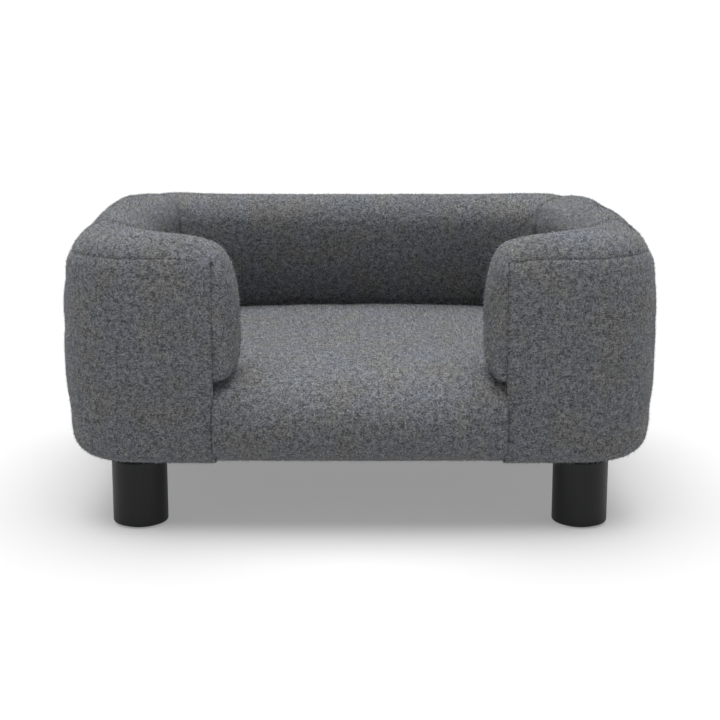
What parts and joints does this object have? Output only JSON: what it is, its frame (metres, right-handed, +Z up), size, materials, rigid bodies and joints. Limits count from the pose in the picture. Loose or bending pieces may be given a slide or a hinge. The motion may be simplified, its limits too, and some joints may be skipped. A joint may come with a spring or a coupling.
{
  "type": "pet bed",
  "caption": "Low upholstered pet sofa with a padded wall round three sides, short curled-in front wings, a seat that rolls over the open front, and stubby round wooden legs.",
  "frame": {"origin": "on the floor under the middle of the bed", "axes": "+X across the bed to the viewer's right when facing its open front, +Y from the open front to the back, +Z up"},
  "size_m": [0.64, 0.46, 0.32],
  "materials": {
    "wool_cloth": "mid-grey melange wool felt cloth",
    "dust_cloth": "black non-woven dust cloth",
    "wadding": "white polyester wadding",
    "foam": "cream upholstery foam",
    "felt": "dense black felt",
    "pine": "planed softwood",
    "plywood": "sanded plywood",
    "black_stained_wood": "black-stained turned hardwood, satin",
    "zinc_steel": "zinc-plated steel",
    "screw_steel": "yellow-passivated steel"
  },
  "bodies": {
    "bed": {"back_inner_cover": "wool_cloth", "back_outer_cover": "wool_cloth", "back_panel": "plywood", "back_rail": "pine", "back_top_cover": "wool_cloth", "back_wall_foam": "foam", "centre_slat": "pine", "corner_posts": "pine", "deck_board": "plywood", "deck_screws": "screw_steel", "dust_cover": "dust_cloth", "front_panel": "plywood", "front_rail": "pine", "left_back_corner_foam": "foam", "left_front_corner_foam": "foam", "left_outer_cover": "wool_cloth", "left_panel": "plywood", "left_rail": "pine", "left_side_inner_cover": "wool_cloth", "left_side_top_cover": "wool_cloth", "left_side_wall_foam": "foam", "left_wing_foam": "foam", "left_wing_inner_cover": "wool_cloth", "left_wing_top_cover": "wool_cloth", "panel_screws": "screw_steel", "post_screws": "screw_steel", "right_back_corner_foam": "foam", "right_front_corner_foam": "foam", "right_outer_cover": "wool_cloth", "right_panel": "plywood", "right_rail": "pine", "right_side_inner_cover": "wool_cloth", "right_side_top_cover": "wool_cloth", "right_side_wall_foam": "foam", "right_wing_foam": "foam", "right_wing_inner_cover": "wool_cloth", "right_wing_top_cover": "wool_cloth", "seat_cover": "wool_cloth", "seat_foam": "foam", "seat_wadding": "wadding", "staples": "zinc_steel", "tee_nuts": "zinc_steel"},
    "washer_front_left": {"leg_washer_front_left": "zinc_steel"},
    "leg_front_left": {"leg_front_left": "black_stained_wood", "hanger_bolt_front_left": "zinc_steel", "felt_pad_front_left": "felt"},
    "washer_front_right": {"leg_washer_front_right": "zinc_steel"},
    "leg_front_right": {"leg_front_right": "black_stained_wood", "hanger_bolt_front_right": "zinc_steel", "felt_pad_front_right": "felt"},
    "washer_back_left": {"leg_washer_back_left": "zinc_steel"},
    "leg_back_left": {"leg_back_left": "black_stained_wood", "hanger_bolt_back_left": "zinc_steel", "felt_pad_back_left": "felt"},
    "washer_back_right": {"leg_washer_back_right": "zinc_steel"},
    "leg_back_right": {"leg_back_right": "black_stained_wood", "hanger_bolt_back_right": "zinc_steel", "felt_pad_back_right": "felt"}
  },
  "joints": [
    {"name": "leg_travel_front_left", "type": "slide", "parent": "bed", "child": "washer_front_left", "axis": [0, 0, -1], "range_m": [0, 0.0101]},
    {"name": "leg_turn_front_left", "type": "hinge", "parent": "washer_front_left", "child": "leg_front_left", "pos_m": [-0.241, -0.17, 0.075], "axis": [0, 0, -1], "range_deg": [0, 2880]},
    {"name": "leg_travel_front_right", "type": "slide", "parent": "bed", "child": "washer_front_right", "axis": [0, 0, -1], "range_m": [0, 0.0101]},
    {"name": "leg_turn_front_right", "type": "hinge", "parent": "washer_front_right", "child": "leg_front_right", "pos_m": [0.241, -0.17, 0.075], "axis": [0, 0, -1], "range_deg": [0, 2880]},
    {"name": "leg_travel_back_left", "type": "slide", "parent": "bed", "child": "washer_back_left", "axis": [0, 0, -1], "range_m": [0, 0.0101]},
    {"name": "leg_turn_back_left", "type": "hinge", "parent": "washer_back_left", "child": "leg_back_left", "pos_m": [-0.241, 0.17, 0.075], "axis": [0, 0, -1], "range_deg": [0, 2880]},
    {"name": "leg_travel_back_right", "type": "slide", "parent": "bed", "child": "washer_back_right", "axis": [0, 0, -1], "range_m": [0, 0.0101]},
    {"name": "leg_turn_back_right", "type": "hinge", "parent": "washer_back_right", "child": "leg_back_right", "pos_m": [0.241, 0.17, 0.075], "axis": [0, 0, -1], "range_deg": [0, 2880]}
  ],
  "couplings": [
    {"joint": "leg_travel_front_left", "follows": "leg_turn_front_left", "m_per_rad": 0.00019894},
    {"joint": "leg_travel_front_right", "follows": "leg_turn_front_right", "m_per_rad": 0.00019894},
    {"joint": "leg_travel_back_left", "follows": "leg_turn_back_left", "m_per_rad": 0.00019894},
    {"joint": "leg_travel_back_right", "follows": "leg_turn_back_right", "m_per_rad": 0.00019894}
  ]
}
